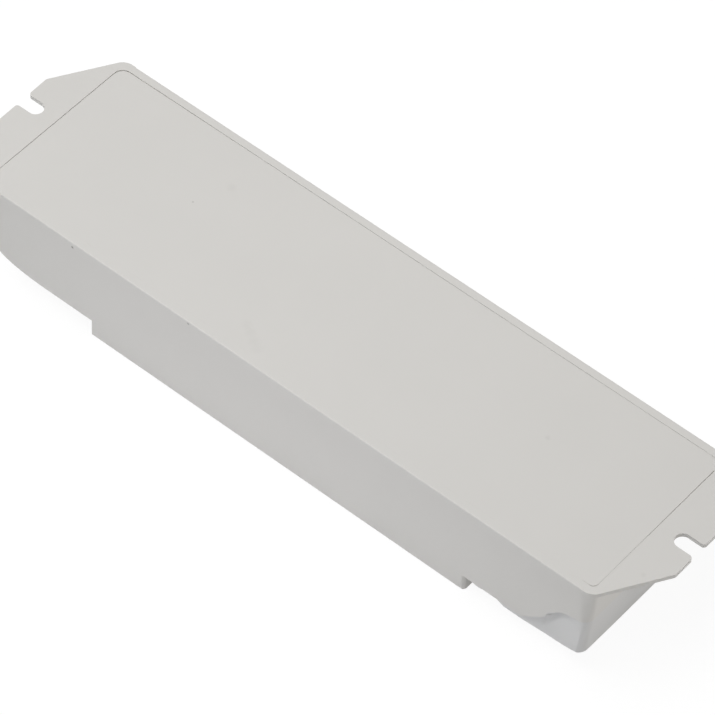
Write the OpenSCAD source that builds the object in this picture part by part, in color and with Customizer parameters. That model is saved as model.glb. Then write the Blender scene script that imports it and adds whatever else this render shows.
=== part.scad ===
// Radio controller for LED strips, in a long moulded housing with two screw ears.
// It lies on the flat front of its centre block, at z = 0, with its mounting side up.
// The output end is at +x. The skirt side of the output cover is the long side at -y,
// and the input cover is the same moulding turned half a turn about z.

/* [Housing] */
// Length over the two end walls
body_l = 149.6; // [144:0.2:160]
// Width over the two long sides
body_w = 42.3; // [41:0.1:48]
// Height from the front of the centre block to the mounting side
body_h = 24; // [23.4:0.1:28]
// Thickness of the housing's walls
wall = 2.2; // [1.8:0.1:2.4]
// Radius of the four upright corners
corner_r = 2; // [1.4:0.1:2.6]
// Length of each end section, from the centre block to the end wall's outer face
end_l = 27.7; // [26:0.1:30]
// Height of the step between the centre block and the end sections
block_step = 4.3; // [3.6:0.1:5.2]
// Rounding of the centre block's front edges
block_r = 0.2; // [0.2:0.1:1.4]
// Rounding of the centre block's upright edges at the covers' skirt side
block_side_r = 1.1; // [0.2:0.1:1.4]
// Rounding of its upright edges at the covers' plain side
block_plain_r = 0.3; // [0.2:0.1:1.4]
// Rounding of the long edges of the mounting side
back_r = 0.25; // [0.2:0.05:0.6]

/* [Ears] */
// How far each ear reaches past its end wall
ear_l = 9.3; // [8:0.1:12]
// Width of an ear at its tip
ear_tip_w = 14; // [11:0.5:20]
// Thickness of an ear
ear_t = 1; // [0.8:0.1:2.4]
// How far an ear's flanks start past the end wall, at the long sides
ear_root = 0.6; // [0.2:0.05:1]
// Rounding of the ear's corners at the long sides
ear_root_r = 1.5; // [0.8:0.1:2]
// Rounding of an ear's outer corners
ear_r = 1; // [0.4:0.1:1.6]
// Rounding of the corners of the slot's mouth
mouth_r = 0.7; // [0.3:0.1:1]
// Width of the open screw slot in each ear
slot_w = 3.5; // [3:0.1:4.5]
// Length of the screw slot, from the ear's tip to the slot's round end
slot_l = 5.4; // [4.5:0.1:6]
// Fillet where the ear meets the end wall
ear_fillet = 1.2; // [0.6:0.1:1.6]

/* [Back panel] */
// Width of the rim that stays visible beside the panel on the long sides
rim_w = 1.75; // [1.4:0.05:1.75]
// How far the panel's ends reach past the end walls' outer faces
panel_over = 0.25; // [0:0.05:0.4]
// Thickness of the panel
panel_t = 0.9; // [0.7:0.1:1]
// Radius of the panel's corners
panel_r = 2.2; // [1:0.1:3]
// Mean gap round the panel
panel_gap = 0.15; // [0.12:0.01:0.25]
// How far the panel sits off centre, towards the skirt side
panel_shift = 0.08; // [0:0.01:0.1]
// Height of the locating lip under the panel
lip_h = 2.2; // [1.6:0.1:2.6]
// Thickness of the locating lip
lip_t = 1.2; // [0.8:0.1:1.6]
// Gap between the locating lip and the walls
lip_gap = 0.2; // [0.1:0.05:0.4]
// Length of one snap hook
hook_l = 7; // [4:0.5:10]
// How far a snap hook stands out of the lip
hook_out = 0.5; // [0.3:0.05:0.7]

/* [Terminal covers] */
// Thickness of a cover's plate and skirts
cover_t = 1.6; // [1.2:0.1:2]
// How far the cover's plate stands in front of the housing's side walls
cover_rise = 1; // [0.5:0.05:1.2]
// How much further the plate's domed middle stands out than its sides
dome_h = 0.5; // [0.3:0.1:1]
// How far the plate falls back towards the end wall
dome_fall = 1.5; // [0.8:0.1:1.8]
// Gap between a cover and the housing
cover_gap = 0.15; // [0.1:0.01:0.3]
// Where the S-shaped seam starts, measured from the end wall's outer face
seam_start = 14.2; // [13:0.2:15]
// Where the S-shaped seam levels out, measured from the end wall's outer face
seam_stop = 4.9; // [4:0.1:5.6]
// Depth of the seam under the mounting side at the end wall
seam_depth = 9.2; // [9:0.1:10]
// Depth of the round dish in the skirt, beside the seam's steepest place
dish_depth = 0.8; // [0.3:0.05:0.8]
// Diameter of that dish
dish_d = 17; // [12:0.5:17]
// Depth of the cable recess in from the end wall
recess_l = 3.3; // [3:0.1:4]
// How far past the middle the closed half of the end reaches
closed_over = 2.5; // [1:0.1:4]
// Length of the sloping round end of the side wall beside the cable recess
slope_l = 12.4; // [8:0.2:12.4]
// Height of that round end
slope_h = 2.8; // [2.4:0.1:3.6]
// Width of the cable opening
cable_w = 12; // [8:0.5:13]
// Height of the cable opening
cable_h = 6.2; // [5.5:0.1:6.6]
// Width of the raised grip lip beside the centre block
grip_w = 2.2; // [1.6:0.1:2.6]
// Shaft diameter of the cover screw
cover_screw_d = 2.7; // [2.4:0.1:3]
// Head diameter of the cover screw
cover_head_d = 5.2; // [4.8:0.1:5.8]
// Head height of the cover screw
cover_head_h = 1.7; // [1.4:0.1:2]

/* [Circuit board] */
// Thickness of the board
board_t = 1.6; // [1:0.1:1.6]
// Gap between the board's back and the panel's inner face
board_back = 3.6; // [3.2:0.1:4]
// Gap between the board's edges and the walls
board_gap = 0.4; // [0.3:0.05:0.8]
// How far the board reaches past the terminal blocks
board_over = 0.6; // [0.3:0.1:2]
// Shaft diameter of the board screws
board_screw_d = 2.1; // [1.8:0.1:2.3]
// Diameter of the pillars that carry the board
pillar_d = 5; // [4.6:0.1:5.6]

/* [Terminals] */
// Distance between neighbouring clamps
pole = 5; // [5:0.02:5.08]
// Number of clamps on the supply side
input_poles = 2; // [2:1:3]
// Number of clamps on the strip side
output_poles = 5; // [3:1:5]
// Height of a terminal block
terminal_h = 9.6; // [8.5:0.1:9.8]
// Depth of a terminal block
terminal_d = 7.8; // [7:0.1:8.4]

/* [Pairing button and light] */
// Diameter of the button
button_d = 3.6; // [3:0.1:4.5]
// Gap between the button and the hole in the front wall
button_gap = 0.3; // [0.25:0.05:0.4]
// How far the button lies behind the front face
button_in = 0.5; // [0.3:0.1:0.8]
// Travel of the button
button_travel = 0.3; // [0.2:0.05:0.4]
// Diameter of the light pipe
pipe_d = 3; // [2:0.1:4]

/* [Hidden] */
$fn = 48;
eps = 0.02;

half_l = body_l / 2;
half_w = body_w / 2;
block_l = body_l - 2 * end_l;
half_block = block_l / 2;
inner_w = body_w - 2 * wall;
edge_z = block_step;
seam_z = body_h - seam_depth;
rise_z = edge_z - cover_rise;
dome_z = rise_z - dome_h;
dome_r = (half_w * half_w + dome_h * dome_h) / (2 * dome_h);
dome_n = 8;
dome_flat = 7;
panel_z = body_h - panel_t;
board_z = panel_z - board_back - board_t;
board_rest = 0.3;
ledge_t = 1.6;
hook_h = 1.2;
hook_pitch = body_l / 3.2;
rib_pitch = body_l / 5;
rib_t = 1;
arc_n = 10;

ear_x = half_l + ear_l;
slot_x = ear_x - slot_l + slot_w / 2;

recess_x = half_l - recess_l;
open_mid = (closed_over + inner_w / 2) / 2;
edge_in = 0.15;

// The seam's corners: foot and head of its steep stretch, and the knee where it levels out
seam_n = 5;
seam_x0 = half_l - seam_start;
seam_run = seam_start - seam_stop;
seam_foot = [seam_x0 + 0.54 * seam_run, edge_z + 0.4 * (seam_z - edge_z)];
seam_head = [seam_x0 + 0.62 * seam_run, edge_z + 0.61 * (seam_z - edge_z)];
seam_knee = [half_l - seam_stop, edge_z + 0.91 * (seam_z - edge_z)];
seam_r = 0.8;
knee_r = 1.6;
dish_x = seam_foot.x;
dish_z = seam_foot.y + 0.6;
dish_n = 12;
cover_x0 = half_block + cover_gap;
grip_gap = 2;
grip_x = half_block + grip_gap;
channel_w = 3.6;
plate_x = grip_x + grip_w + channel_w;
screw_x = grip_x + grip_w + channel_w / 2;
boss_d = cover_screw_d + 3.6;
boss_z = edge_z + cover_head_h + cover_t - 0.2;
boss_h = 7;
well_wall = 1.5;
cover_screw_l = cover_t + 3.4;
board_screw_l = 5.5;

pin_d = 1;
pin_l = 1.4;
terminal_gap = 1.05;
cage_h = 4;
cage_low = 0.8;
cage_side = 0.75;
cage_wall = 0.5;
clamp_screw_h = 3.2;
clamp_slot = 0.7;
block_chamfer = 1.4;
terminal_x = screw_x + boss_d / 2 + terminal_gap + terminal_d / 2;
board_l = 2 * (terminal_x + terminal_d / 2 + board_over);
board_w = inner_w - 2 * board_gap;
output_y = board_w / 2 - 1.5 - output_poles * pole / 2;
input_y = -(board_w / 2 - 4.5 - input_poles * pole / 2);

pillar_x = half_block - wall - pillar_d / 2 - 1;
pillar_y = board_w / 2 - pillar_d / 2 - 0.6;

// Places on the board, as shares of the free length between the pillars and of the board's width
free_l = pillar_x - pillar_d / 2;
supply_x = -0.85 * free_l;
buck_x = -0.52 * free_l;
crystal_x = -0.2 * free_l;
micro_x = 0.1 * free_l;
driver_x = 0.38 * free_l;
gate_x = 0.55 * free_l;
shunt_x = 0.62 * free_l;
mosfet_x = 0.81 * free_l;
button_x = -0.2 * free_l;
pipe_x = 0.15 * free_l;
button_y = -0.03 * board_w;
pipe_y = button_y;
capacitor_y = -0.16 * board_w;
diode_y = 0.35 * board_w;
fuse_y = 0.24 * board_w;
inductor_y = 0.1 * board_w;
regulator_y = -0.19 * board_w;
logic_y = -0.32 * board_w;
driver_y = -0.2 * board_w;
radio_y = 0.3 * board_w;
channels = 5;
channel_pitch = board_w / 5.3;

// Sizes of the parts on the board: length, width, height
diode = [6.6, 5.6, 2.4];
fuse = [8, 3, 2.6];
capacitor_d = 10;
capacitor_h = 13;
capacitor_gap = 0.8;
small_capacitor_d = 6.3;
small_capacitor_h = 7;
inductor_size = [8, 8, 4.5];
regulator_size = [4.9, 3.9, 1.7];
driver_size = [5, 4.4, 1.1];
micro_size = [6.5, 4.4, 1.1];
wide_pitch = 1.27;
fine_pitch = 0.65;
transistor = [6.2, channel_pitch - 0.4, 2.3];
shunt = [3.2, 1.6, 0.6];
gate = [2, 1.25, 0.5];
crystal_size = [10.5, 4.4, 3.4];
radio = [18, 12, 0.9];
shield = [11, 10, 2];
led = [3.2, 2.8, 1.2];
switch_w = 6;
switch_h = 3.5;
plunger_d = button_d - 0.4;
plunger_l = 1;
plunger_in = 0.8;
flange_d = button_d + 2.2;
flange_t = 1;
pipe_collar = 0.9;
pipe_tube_h = 5;

// Points of an arc about c from angle a0 to a1, both ends included
function arc(c, r, a0, a1, n = arc_n) =
  [for (i = [0:n]) let (a = a0 + (a1 - a0) * i / n) c + r * [cos(a), sin(a)]];

// Corner b between a and c, cut back by s on both sides and rounded
function soft_corner(a, b, c, s) =
  let (p = b + s * (a - b) / norm(a - b), q = b + s * (c - b) / norm(c - b))
  [for (i = [0:seam_n]) let (u = i / seam_n) p * pow(1 - u, 2) + 2 * b * u * (1 - u) + q * u * u];

// Rectangle about the origin with round corners
module round_rect(size, r) {
  square([size.x - 2 * r, size.y], center = true);
  square([size.x, size.y - 2 * r], center = true);
  for (x = [-1, 1], y = [-1, 1])
    translate([x * (size.x / 2 - r), y * (size.y / 2 - r)])
      circle(r);
}

// Extrudes a drawing of x and z along y, from y0 to y1
module along_y(y0, y1) {
  translate([0, y1, 0])
    rotate([90, 0, 0])
      linear_extrude(y1 - y0)
        children();
}

// Extrudes a drawing of y and z along x, from x0 to x1
module along_x(x0, x1) {
  translate([x0, 0, 0])
    rotate([90, 0, 90])
      linear_extrude(x1 - x0)
        children();
}

// A box given by its lowest and highest corners
module box(a, b) {
  translate(a)
    cube(b - a);
}

module half_turn() {
  children();
  rotate([0, 0, 180])
    children();
}

// The whole block seen along z, from z0 to z1
module plan_body(z0, z1) {
  translate([0, 0, z0])
    linear_extrude(z1 - z0)
      round_rect([body_l, body_w], corner_r);
}

// One ear in plan: straight flanks between the long sides and the tip, with round corners
module ear_plan() {
  root = [half_l + ear_root, half_w];
  tip = [ear_x, ear_tip_w / 2];
  lean = atan2(tip.x - root.x, root.y - tip.y);
  c_root = [root.x - ear_root_r * tan((90 - lean) / 2), root.y - ear_root_r];
  c_tip = [tip.x - ear_r, tip.y - ear_r * tan(lean / 2)];
  upper = concat(
    arc(c_root, ear_root_r, 90, lean),
    arc(c_tip, ear_r, lean, 0)
  );
  polygon(concat(
    [[half_l - corner_r, upper[0].y]],
    upper,
    [for (i = [len(upper) - 1:-1:0]) [upper[i].x, -upper[i].y]],
    [[half_l - corner_r, -upper[0].y]]
  ));
}

// The screw slot, with a round end, straight flanks and flared mouth corners
module ear_slot() {
  translate([0, 0, body_h - ear_t - 1]) {
    translate([slot_x, 0, 0])
      cylinder(d = slot_w, h = ear_t + 2);
    translate([slot_x, -slot_w / 2, 0])
      cube([ear_l, slot_w, ear_t + 2]);
    for (s = [0, 1])
      mirror([0, s])
        difference() {
          translate([ear_x - mouth_r, slot_w / 2 - eps, 0])
            cube([mouth_r + 1, mouth_r + eps, ear_t + 2]);
          translate([ear_x - mouth_r, slot_w / 2 + mouth_r, -1])
            cylinder(r = mouth_r, h = ear_t + 4);
        }
  }
}

// Side view of what lies below the S-shaped seam, less a gap that closes at both ends
module below_seam(gap) {
  start = [seam_x0, edge_z];
  stop = [half_l, seam_z];
  bends = concat(
    soft_corner(start, seam_foot, seam_head, seam_r),
    soft_corner(seam_foot, seam_head, seam_knee, seam_r),
    soft_corner(seam_head, seam_knee, stop, knee_r)
  );
  polygon(concat(
    [[seam_x0 - 2, edge_z - 4], [seam_x0 - 0.6, edge_z - 0.5], start],
    [for (p = bends) p + 0.7 * gap * [1, -1]],
    [stop, [half_l + 3, seam_z], [half_l + 3, edge_z - 4]]
  ));
}

// Quarter ellipse of the sloping round end, moved out by a margin
function slope_points(out) =
  [for (i = [0:arc_n])
    let (a = 90 * i / arc_n)
      [recess_x - slope_l + slope_l * sin(a), edge_z + slope_h - (slope_h + out) * cos(a)]];

// Side view of what the plain side wall leaves free beside the cable recess
module recess_cut() {
  polygon(concat(
    slope_points(0),
    [[recess_x, seam_z], [half_l + 3, seam_z], [half_l + 3, -1], [recess_x - slope_l, -1]]
  ));
}

// The inside of the housing, from the board's side up to the panel
module board_space() {
  box(
    [-half_l + wall, -inner_w / 2, board_z - board_rest],
    [half_l - wall, inner_w / 2, body_h + 1]
  );
}

module panel_plan(gap) {
  round_rect([body_l + 2 * panel_over - 2 * gap, body_w - 2 * rim_w - 2 * gap], panel_r);
}

// Outline of the locating lip, drawn in by a margin
module lip_plan(margin) {
  w = inner_w - 2 * (lip_gap + panel_shift + margin);
  round_rect([body_l - 2 * (wall + lip_gap + margin), w], 0.5);
}

// Places of the snap hooks along both long sides
module at_hooks() {
  for (x = [-1, 0, 1], s = [0, 1])
    rotate([0, 0, 180 * s])
      translate([x * hook_pitch, inner_w / 2, panel_z - lip_h])
        children();
}

module at_pillars() {
  for (x = [-1, 1], y = [-1, 1])
    translate([x * pillar_x, y * pillar_y, 0])
      children();
}

// One end section of the housing: side walls, end wall and the ledge over the recess
module end_section() {
  difference() {
    intersection() {
      plan_body(edge_z, body_h);
      box([half_block - wall, -half_w, edge_z], [half_l, half_w, body_h]);
    }
    box([half_block, -inner_w / 2, edge_z - 1], [half_l - wall, inner_w / 2, body_h + 1]);
    along_y(-half_w - 1, -inner_w / 2 + eps)
      below_seam(0);
    box([half_l - wall - eps, -inner_w / 2, -1], [half_l + 1, inner_w / 2, seam_z]);
    along_y(inner_w / 2 - eps, half_w + 1)
      recess_cut();
  }
  box(
    [recess_x - cover_t, closed_over - cover_t, seam_z],
    [half_l - wall + eps, inner_w / 2 + eps, seam_z + ledge_t]
  );
  cover_boss();
}

// The boss for the cover screw, carried by the wall of the centre block
module cover_boss() {
  difference() {
    union() {
      translate([screw_x, 0, boss_z])
        cylinder(d = boss_d, h = boss_h);
      box([half_block - eps, -1, boss_z], [screw_x, 1, boss_z + boss_h]);
    }
    translate([screw_x, 0, boss_z - 1])
      cylinder(d = cover_screw_d + 0.1, h = boss_h);
  }
}

module ear() {
  difference() {
    union() {
      translate([0, 0, body_h - ear_t])
        linear_extrude(ear_t)
          ear_plan();
      along_y(-ear_tip_w / 2 - 4, ear_tip_w / 2 + 4)
        polygon([
          [half_l - eps, body_h - ear_t + eps],
          [half_l - eps, body_h - ear_t - ear_fillet],
          [half_l + ear_fillet, body_h - ear_t + eps]
        ]);
    }
    box([0, -half_w, 0], [half_l - wall, half_w, body_h + 1]);
    ear_slot();
  }
}

// Upright view of the centre block: round at the front, square towards the mounting side
module block_view(w) {
  translate([0, body_h / 2])
    round_rect([w, body_h], block_r);
  translate([-w / 2, body_h / 2])
    square([w, body_h / 2]);
}

// Plan of the centre block, rounder at the skirt sides than at the plain sides
module block_plan() {
  round_at = [block_side_r - half_block, half_w - block_side_r];
  sharp_at = [half_block - block_plain_r, half_w - block_plain_r];
  side = [
    [half_block, sharp_at.y], sharp_at, [sharp_at.x, half_w],
    [round_at.x, half_w], round_at, [-half_block, round_at.y]
  ];
  half_turn() {
    translate(round_at)
      circle(block_side_r);
    translate(sharp_at)
      circle(block_plain_r);
  }
  polygon(concat(side, [for (p = side) -p]));
}

// The centre block: a box with round front edges, hollow towards the board
module centre_block() {
  difference() {
    intersection() {
      along_y(-half_w, half_w)
        block_view(block_l);
      along_x(-half_block, half_block)
        block_view(body_w);
      linear_extrude(body_h)
        block_plan();
    }
    box([-half_block + wall, -inner_w / 2, wall], [half_block - wall, inner_w / 2, body_h + 1]);
  }
}

// Softens the long edges of the mounting side
module back_edges() {
  for (s = [-1, 1])
    along_x(-half_l + corner_r, half_l - corner_r)
      difference() {
        translate([s * (half_w - back_r / 2 + 0.5), body_h - back_r / 2 + 0.5])
          square([back_r + 1, back_r + 1], center = true);
        translate([s * (half_w - back_r), body_h - back_r])
          circle(back_r);
      }
}

module housing() {
  color("whitesmoke")
  difference() {
    union() {
      difference() {
        union() {
          centre_block();
          half_turn() {
            end_section();
            ear();
          }
        }
        board_space();
      }
      at_pillars()
        translate([0, 0, wall - eps])
          cylinder(d = pillar_d, h = board_z - wall + eps);
      translate([button_x, button_y, wall - eps])
        cylinder(d = flange_d + 2 * button_gap + 2, h = 6);
      translate([pipe_x, pipe_y, wall - eps])
        cylinder(d = pipe_d + 2.4, h = pipe_tube_h + eps);
    }
    translate([0, 0, panel_z])
      linear_extrude(panel_t + 1)
        panel_plan(0);
    back_edges();
    at_hooks()
      translate([-hook_l / 2 - 0.3, -1, -0.2])
        cube([hook_l + 0.6, 1 + hook_out + panel_shift + 0.1, hook_h + 0.4]);
    at_pillars()
      translate([0, 0, wall + 2])
        cylinder(d = board_screw_d + 0.1, h = board_z);
    translate([button_x, button_y, -1]) {
      cylinder(d = button_d + 2 * button_gap, h = wall + 2);
      translate([0, 0, wall + 1])
        cylinder(d = flange_d + 2 * button_gap, h = body_h);
    }
    translate([pipe_x, pipe_y, -1])
      cylinder(d = pipe_d + 0.1, h = wall + 10);
  }
}

module back_panel() {
  color("whitesmoke")
  translate([0, -panel_shift, 0])
    union() {
      translate([0, 0, panel_z])
        linear_extrude(panel_t)
          panel_plan(panel_gap);
      difference() {
        translate([0, 0, panel_z - lip_h])
          linear_extrude(lip_h + eps)
            lip_plan(0);
        translate([0, 0, panel_z - lip_h - 1])
          linear_extrude(lip_h + 1)
            lip_plan(lip_t);
      }
      at_hooks()
        along_x(-hook_l / 2, hook_l / 2)
          polygon([
            [-lip_gap - panel_shift - 0.4, 0],
            [-lip_gap - panel_shift, 0],
            [hook_out, hook_h * 0.4],
            [hook_out, hook_h * 0.7],
            [-lip_gap - panel_shift, hook_h],
            [-lip_gap - panel_shift - 0.4, hook_h]
          ]);
      for (x = [-1.5:1:1.5])
        translate([x * rib_pitch - rib_t / 2, -inner_w / 2 + lip_gap + lip_t, panel_z - rib_t])
          cube([rib_t, inner_w - 2 * lip_gap - 2 * lip_t, rib_t + eps]);
    }
}

// Outer side view of the cover on the closed half of the end
module cover_side() {
  polygon(concat(
    [[cover_x0, seam_z], [cover_x0, edge_z], [grip_x - 0.2, edge_z]],
    arc([grip_x + 0.4, edge_z], 0.45, 180, 270, 4),
    arc([grip_x + grip_w - 0.6, edge_z], 0.45, 270, 360, 4),
    [[plate_x - 0.6, edge_z - 0.1], [plate_x + 1.4, rise_z], [plate_x + 2.6, dome_z]],
    [[half_l, dome_z], [half_l, seam_z]]
  ));
}

// The plate's soft dome: a shape turned about an axis along the part, that narrows to the end
module front_dome() {
  x0 = plate_x + dome_flat;
  x1 = half_l + 0.5;
  translate([0, 0, dome_z + dome_r])
    rotate([0, 90, 0])
      rotate_extrude($fn = 180)
        polygon(concat(
          [[0, half_block], [dome_r, half_block]],
          [for (i = [0:dome_n])
            let (u = i / dome_n)
              [dome_r - dome_fall * u * u, x0 + (x1 - x0) * u]],
          [[0, x1]]
        ));
}

// The same on the half with the cable recess, where the end slopes away
module cover_side_open() {
  intersection() {
    cover_side();
    polygon(concat(
      [[cover_x0 - 1, seam_z], [cover_x0 - 1, dome_z - 1], [recess_x - slope_l, dome_z - 1]],
      slope_points(edge_z - dome_z + 0.1),
      [[recess_x, seam_z]]
    ));
  }
}

// What the plate and the skirt of the closed half enclose
module hollow_side() {
  polygon([
    [cover_x0 - 1, seam_z + 1],
    [cover_x0 - 1, edge_z + cover_t],
    [half_l - cover_t - 2.4, edge_z + cover_t],
    [half_l - cover_t, edge_z + cover_t + 1.2],
    [half_l - cover_t, seam_z + 1]
  ]);
}

// The same behind the cable recess
module hollow_side_open() {
  polygon(concat(
    [[cover_x0 - 1, seam_z + 1], [cover_x0 - 1, edge_z + cover_t]],
    [for (p = slope_points(0)) p + cover_t * [-1, 1]],
    [[recess_x - cover_t, seam_z + 1]]
  ));
}

// Plan of the cover: nearly flush with the side walls, narrower beside the centre block
module cover_plan() {
  difference() {
    intersection() {
      round_rect([body_l, body_w], corner_r);
      translate([cover_x0, -half_w + edge_in])
        square([half_l, body_w - edge_in]);
    }
    for (s = [0, 1])
      mirror([0, s])
        translate([0, inner_w / 2 - cover_gap])
          square([grip_x - 0.2, wall + cover_gap]);
  }
}

// The shallow round dish in the skirt, which fades out all round
module skirt_dish() {
  translate([dish_x, -half_w + edge_in, dish_z])
    rotate([-90, 0, 0])
      rotate_extrude($fn = 72)
        polygon(concat(
          [[0, -1]],
          [for (i = [0:dish_n])
            let (u = i / dish_n)
              [dish_d / 2 * u, dish_depth * (1 + cos(180 * u)) / 2]],
          [[dish_d / 2, -1]]
        ));
}

// The space that the cover may fill: between the walls, in front of their edges, below the seam
module cover_room() {
  box([0, -inner_w / 2 + cover_gap, 0], [half_l, inner_w / 2 - cover_gap, body_h]);
  box([0, -half_w, 0], [half_l, inner_w / 2 - cover_gap, edge_z - 0.05]);
  along_y(-half_w, -inner_w / 2 + 1)
    below_seam(cover_gap);
}

// The round well for the screw's head, with its floor against the housing's boss
module screw_well() {
  translate([screw_x, 0, edge_z])
    cylinder(d = cover_head_d + 2 * well_wall, h = boss_z - edge_z);
}

// The moulding of both terminal covers, at the output end
module terminal_cover() {
  difference() {
    union() {
      intersection() {
        linear_extrude(body_h)
          cover_plan();
        union() {
          along_y(-half_w, closed_over)
            cover_side();
          along_y(closed_over, half_w)
            cover_side_open();
        }
        cover_room();
        front_dome();
      }
      screw_well();
    }
    skirt_dish();
    difference() {
      union() {
        along_y(-inner_w / 2, closed_over - cover_t)
          hollow_side();
        along_y(closed_over - cover_t - eps, inner_w / 2 + 1)
          hollow_side_open();
      }
      screw_well();
    }
    box([recess_x, closed_over, 0], [half_l + 1, half_w, seam_z + 1]);
    box(
      [recess_x - cover_t - 1, open_mid - cable_w / 2, seam_z - cable_h],
      [recess_x + 1, open_mid + cable_w / 2, seam_z + 1]
    );
    translate([screw_x, 0, -1])
      cylinder(d = cover_screw_d + 0.7, h = body_h);
    translate([screw_x, 0, -1])
      cylinder(d = cover_head_d + 0.6, h = edge_z + cover_head_h + 1);
  }
}

module output_cover() {
  color("whitesmoke")
    terminal_cover();
}

module input_cover() {
  color("whitesmoke")
    rotate([0, 0, 180])
      terminal_cover();
}

// A pan-head screw whose shaft points to +z, with its head's underside at the origin
module pan_screw(shaft_d, shaft_l, head_d, head_h) {
  difference() {
    union() {
      cylinder(d = shaft_d, h = shaft_l);
      translate([0, 0, -head_h])
        cylinder(d1 = head_d * 0.82, d2 = head_d, h = head_h * 0.45);
      translate([0, 0, -head_h * 0.55])
        cylinder(d = head_d, h = head_h * 0.55);
      translate([0, 0, shaft_l - eps])
        cylinder(d1 = shaft_d, d2 = shaft_d * 0.35, h = shaft_d * 0.6);
    }
    for (a = [0, 90])
      rotate([0, 0, a])
        translate([-head_d * 0.28, -head_d * 0.07, -head_h - 1])
          cube([head_d * 0.56, head_d * 0.14, 1 + head_h * 0.6]);
  }
}

module cover_screws() {
  color("silver")
    half_turn()
      translate([screw_x, 0, edge_z + cover_head_h])
        pan_screw(cover_screw_d, cover_screw_l, cover_head_d, cover_head_h);
}

module circuit_board() {
  color("darkgreen")
  difference() {
    translate([0, 0, board_z])
      linear_extrude(board_t)
        round_rect([board_l, board_w], 1);
    at_pillars()
      translate([0, 0, board_z - 1])
        cylinder(d = board_screw_d + 0.4, h = board_t + 2);
    at_all_poles()
      translate([0, 0, board_z - 1])
        cylinder(d = pin_d + 0.2, h = board_t + 2);
  }
}

module board_screws() {
  color("silver")
    at_pillars()
      translate([0, 0, board_z + board_t])
        mirror([0, 0, 1])
          pan_screw(board_screw_d, board_screw_l, board_screw_d * 1.95, board_screw_d * 0.7);
}

// Clamp positions of both terminal blocks
module at_poles(n, x, y, turn) {
  translate([x, y, 0])
    rotate([0, 0, turn])
      for (i = [0:n - 1])
        translate([0, (i - (n - 1) / 2) * pole, 0])
          children();
}

module at_all_poles() {
  at_poles(output_poles, terminal_x, output_y, 0)
    children();
  at_poles(input_poles, -terminal_x, input_y, 180)
    children();
}

// A row of clamp housings: chamfered front, screw wells, wire entries facing outwards
module terminal_block(n) {
  w = n * pole;
  z0 = board_z - terminal_h;
  difference() {
    along_y(-w / 2, w / 2)
      polygon([
        [-terminal_d / 2, board_z],
        [-terminal_d / 2, z0 + block_chamfer],
        [-terminal_d / 2 + block_chamfer, z0],
        [terminal_d / 2 - 2, z0],
        [terminal_d / 2 - 0.8, board_z - terminal_h * 0.45],
        [terminal_d / 2, board_z - terminal_h * 0.45],
        [terminal_d / 2, board_z]
      ]);
    for (i = [0:n - 1])
      translate([0, (i - (n - 1) / 2) * pole, 0]) {
        translate([-0.3, 0, z0 - 1])
          cylinder(d = pole - 1.2, h = terminal_h * 0.55 + 1);
        cage_space(terminal_d, 0);
        translate([0, 0, board_z - 1])
          cylinder(d = pin_d + 0.2, h = 2);
      }
  }
}

module input_terminal() {
  color("seagreen")
    translate([-terminal_x, input_y, 0])
      rotate([0, 0, 180])
        terminal_block(input_poles);
}

module output_terminal() {
  color("seagreen")
    translate([terminal_x, output_y, 0])
      terminal_block(output_poles);
}

// The space of one clamp cage, up to x1, drawn in by its wall
module cage_space(x1, t) {
  y1 = pole / 2 - cage_side - t;
  z1 = board_z - cage_low - t;
  box([t > 0 ? -terminal_d : -terminal_d / 2 + 1, -y1, z1 - cage_h + 2 * t], [x1, y1, z1]);
}

// The metal frame that pulls the wire tight, with its solder pin through the board
module terminal_cages() {
  color("gainsboro")
    at_all_poles()
      difference() {
        union() {
          cage_space(terminal_d / 2 - 1.4, 0);
          translate([0, 0, board_z - cage_low])
            cylinder(d = pin_d, h = cage_low + board_t + pin_l);
        }
        cage_space(terminal_d, cage_wall);
      }
}

module terminal_screws() {
  color("silver")
    at_all_poles()
      translate([-0.3, 0, board_z - cage_low - cage_h - clamp_screw_h])
        difference() {
          cylinder(d = pole - 1.5, h = clamp_screw_h);
          translate([-pole, -clamp_slot / 2, -1])
            cube([2 * pole, clamp_slot, 1 + clamp_screw_h / 3]);
        }
}

// A chip with gull-wing legs on its two long sides, lying against the board
module chip(size, legs, pitch) {
  w = size.y;
  h = size.z;
  translate([-size.x / 2, -w / 2, board_z - h])
    cube([size.x, w, h - 0.1]);
  for (s = [-1, 1], i = [0:legs - 1])
    translate([(i - (legs - 1) / 2) * pitch - 0.2, s > 0 ? w / 2 - eps : -w / 2 - 1 + eps, 0]) {
      translate([0, s > 0 ? 0 : 0.4, board_z - h / 2])
        cube([0.4, 0.6, 0.2]);
      translate([0, s > 0 ? 0.4 : 0, board_z - h / 2])
        cube([0.4, 0.2, h / 2]);
      translate([0, s > 0 ? 0.4 : 0, board_z - 0.2])
        cube([0.4, 0.6, 0.2]);
    }
}

// A small two-ended part with metal caps
module two_ended(size) {
  translate([-size.x / 2, -size.y / 2, board_z - size.z])
    cube(size);
  for (s = [-1, 1])
    translate([s * size.x / 2 - 0.15, -size.y / 2 - 0.05, board_z - size.z - 0.05])
      cube([0.3, size.y + 0.1, size.z + 0.05]);
}

module protection_diode() {
  color("dimgray")
    translate([supply_x, diode_y, 0])
      two_ended(diode);
}

module input_fuse() {
  color("ivory")
    translate([-terminal_x + 2, fuse_y, 0])
      two_ended(fuse);
}

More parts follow.
